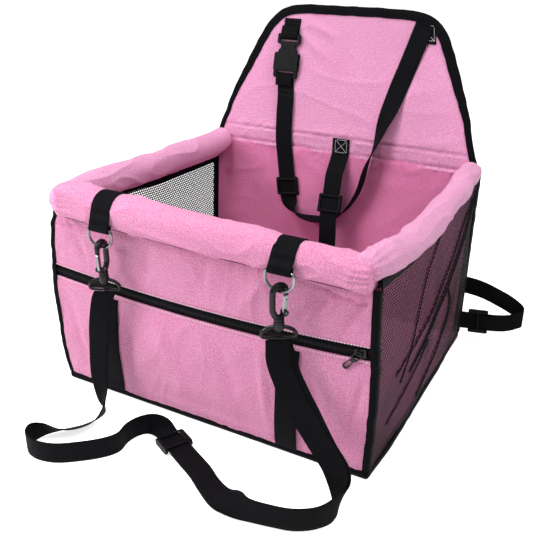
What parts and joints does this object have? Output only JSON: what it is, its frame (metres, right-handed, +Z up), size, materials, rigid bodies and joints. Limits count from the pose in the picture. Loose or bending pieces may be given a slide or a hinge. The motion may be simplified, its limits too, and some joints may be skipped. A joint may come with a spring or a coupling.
{
  "type": "dog car seat",
  "caption": "Folding fabric dog car seat box with mesh sides, padded rim, front zip pocket, folding back flap and webbing straps with rings, swivel hooks and a buckle",
  "frame": {"origin": "centre of the base's underside, on the seat it rests on", "axes": "+Z up, -Y towards the front with the zip pocket, +X to the right of someone facing that front"},
  "size_m": [0.4797, 0.5339, 0.4205],
  "materials": {
    "cloth": "coated Oxford weave, light sheen",
    "lining": "Oxford weave",
    "netting": "open mesh",
    "webbing": "ribbed webbing and tape",
    "resin": "satin moulded",
    "board": "plain sheet",
    "pipe": "plain pipe",
    "hardware": "dark plating"
  },
  "bodies": {
    "carrier": {"base_panel": "cloth", "front_panel": "cloth", "pocket_panel": "cloth", "back_panel": "cloth", "front_rim_roll": "cloth", "left_rim_roll": "cloth", "right_rim_roll": "cloth", "front_lining": "lining", "left_mesh_panel": "netting", "right_mesh_panel": "netting", "zipper_tape_upper": "webbing", "zipper_tape_lower": "webbing", "left_side_band": "webbing", "right_side_band": "webbing", "binding_front_left": "webbing", "binding_front_right": "webbing", "binding_base": "webbing", "binding_rear_left": "webbing", "binding_rear_right": "webbing", "ring_loop_left": "webbing", "ring_loop_right": "webbing", "pocket_band_left": "webbing", "pocket_band_right": "webbing", "rear_strap": "webbing", "tether_strap": "webbing", "shoulder_strap_left": "webbing", "shoulder_strap_right": "webbing", "zipper_teeth": "resin", "base_board": "board", "rim_tube_front": "pipe", "rim_tube_left": "pipe", "rim_tube_right": "pipe", "rim_elbow_left": "pipe", "rim_elbow_right": "pipe", "tether_hook_base": "hardware"},
    "flap": {"flap_panel": "cloth", "flap_binding": "webbing", "stub_strap": "webbing", "buckle_male": "resin", "buckle_female": "resin", "headrest_strap": "webbing"},
    "prong_left": {"buckle_prong_left": "resin"},
    "prong_right": {"buckle_prong_right": "resin"},
    "zip_slider_body": {"zip_slider": "hardware"},
    "zip_pull_body": {"zip_pull": "hardware"},
    "ring_left_body": {"ring_left": "hardware"},
    "ring_right_body": {"ring_right": "hardware"},
    "clip_left": {"hook_base_left": "hardware"},
    "clip_right": {"hook_base_right": "hardware"},
    "hook_left_body": {"hook_left": "hardware"},
    "hook_right_body": {"hook_right": "hardware"},
    "gate_left": {"hook_gate_left": "hardware"},
    "gate_right": {"hook_gate_right": "hardware"},
    "tether_hook_body": {"tether_hook": "hardware"},
    "tether_gate": {"tether_hook_gate": "hardware"},
    "headrest_slider_body": {"headrest_slider": "resin"},
    "tether_slider_body": {"tether_slider": "resin"},
    "shoulder_slider_body": {"shoulder_slider": "resin"},
    "rear_slider_body": {"rear_strap_slider": "resin"}
  },
  "joints": [
    {"name": "flap_fold", "type": "hinge", "parent": "carrier", "child": "flap", "pos_m": [0, 0.18021, 0.254], "axis": [1, 0, 0], "range_deg": [-120, 94], "deforming": ["headrest_strap"]},
    {"name": "prong_left_press", "type": "hinge", "parent": "flap", "child": "prong_left", "pos_m": [-0.0987, 0.19821, 0.35485], "axis": [0, -0.9701, 0.2426], "range_deg": [0, 8], "stiffness_Nm_per_rad": 0.05},
    {"name": "prong_right_press", "type": "hinge", "parent": "flap", "child": "prong_right", "pos_m": [-0.0803, 0.19821, 0.35485], "axis": [0, 0.9701, -0.2426], "range_deg": [0, 8], "stiffness_Nm_per_rad": 0.05},
    {"name": "zip_slide", "type": "hinge", "parent": "carrier", "child": "zip_slider_body", "pos_m": [0, -0.1654, 2.49619], "axis": [0, 1, 0], "range_deg": [0, 8.3], "deforming": ["zipper_teeth"]},
    {"name": "zip_pull_swing", "type": "hinge", "parent": "zip_slider_body", "child": "zip_pull_body", "pos_m": [0.184, -0.1706, 0.14619], "axis": [0, 1, 0], "range_deg": [0, 100]},
    {"name": "clip_left_swing", "type": "hinge", "parent": "carrier", "child": "clip_left", "pos_m": [-0.108, -0.1909, 0.224], "axis": [-1, 0, 0], "range_deg": [-3, 25]},
    {"name": "ring_left_swing", "type": "hinge", "parent": "carrier", "child": "ring_left_body", "pos_m": [-0.108, -0.1909, 0.224], "axis": [-1, 0, 0], "range_deg": [-3, 25]},
    {"name": "hook_left_swivel", "type": "hinge", "parent": "clip_left", "child": "hook_left_body", "pos_m": [-0.108, -0.1909, 0.165], "axis": [0, 0, 1], "range_deg": [-25, 25]},
    {"name": "gate_left_press", "type": "hinge", "parent": "hook_left_body", "child": "gate_left", "pos_m": [-0.10746, -0.19708, 0.1799], "axis": [-0.9962, -0.0872, 0], "range_deg": [0, 22], "stiffness_Nm_per_rad": 0.02},
    {"name": "clip_right_swing", "type": "hinge", "parent": "carrier", "child": "clip_right", "pos_m": [0.108, -0.1909, 0.224], "axis": [-1, 0, 0], "range_deg": [-3, 25]},
    {"name": "ring_right_swing", "type": "hinge", "parent": "carrier", "child": "ring_right_body", "pos_m": [0.108, -0.1909, 0.224], "axis": [-1, 0, 0], "range_deg": [-3, 25]},
    {"name": "hook_right_swivel", "type": "hinge", "parent": "clip_right", "child": "hook_right_body", "pos_m": [0.108, -0.1909, 0.165], "axis": [0, 0, 1], "range_deg": [-6, 45]},
    {"name": "gate_right_press", "type": "hinge", "parent": "hook_right_body", "child": "gate_right", "pos_m": [0.1111, -0.18553, 0.1799], "axis": [0.866, -0.5, 0], "range_deg": [0, 22], "stiffness_Nm_per_rad": 0.02},
    {"name": "tether_hook_swivel", "type": "hinge", "parent": "carrier", "child": "tether_hook_body", "pos_m": [0.009, 0.1375, 0.07], "axis": [0, 0, 1], "continuous": true},
    {"name": "tether_gate_press", "type": "hinge", "parent": "tether_hook_body", "child": "tether_gate", "pos_m": [0.00317, 0.13962, 0.055], "axis": [-0.342, -0.9397, 0], "range_deg": [0, 22], "stiffness_Nm_per_rad": 0.02},
    {"name": "headrest_slide", "type": "slide", "parent": "carrier", "child": "headrest_slider_body", "axis": [-0.1584, 0.057, 0.9857], "range_m": [-0.002, 0.035]},
    {"name": "tether_slide", "type": "slide", "parent": "carrier", "child": "tether_slider_body", "axis": [-0.0374, 0.355, 0.9341], "range_m": [-0.003, 0.018]},
    {"name": "shoulder_slide", "type": "slide", "parent": "carrier", "child": "shoulder_slider_body", "axis": [0.8869, -0.462, 0], "range_m": [0, 0.045]},
    {"name": "rear_slide", "type": "slide", "parent": "carrier", "child": "rear_slider_body", "axis": [0.9888, 0.136, 0.0618], "range_m": [-0.003, 0.008]}
  ],
  "couplings": [
    {"joint": "ring_left_swing", "follows": "clip_left_swing", "ratio": 1},
    {"joint": "ring_right_swing", "follows": "clip_right_swing", "ratio": 1}
  ]
}
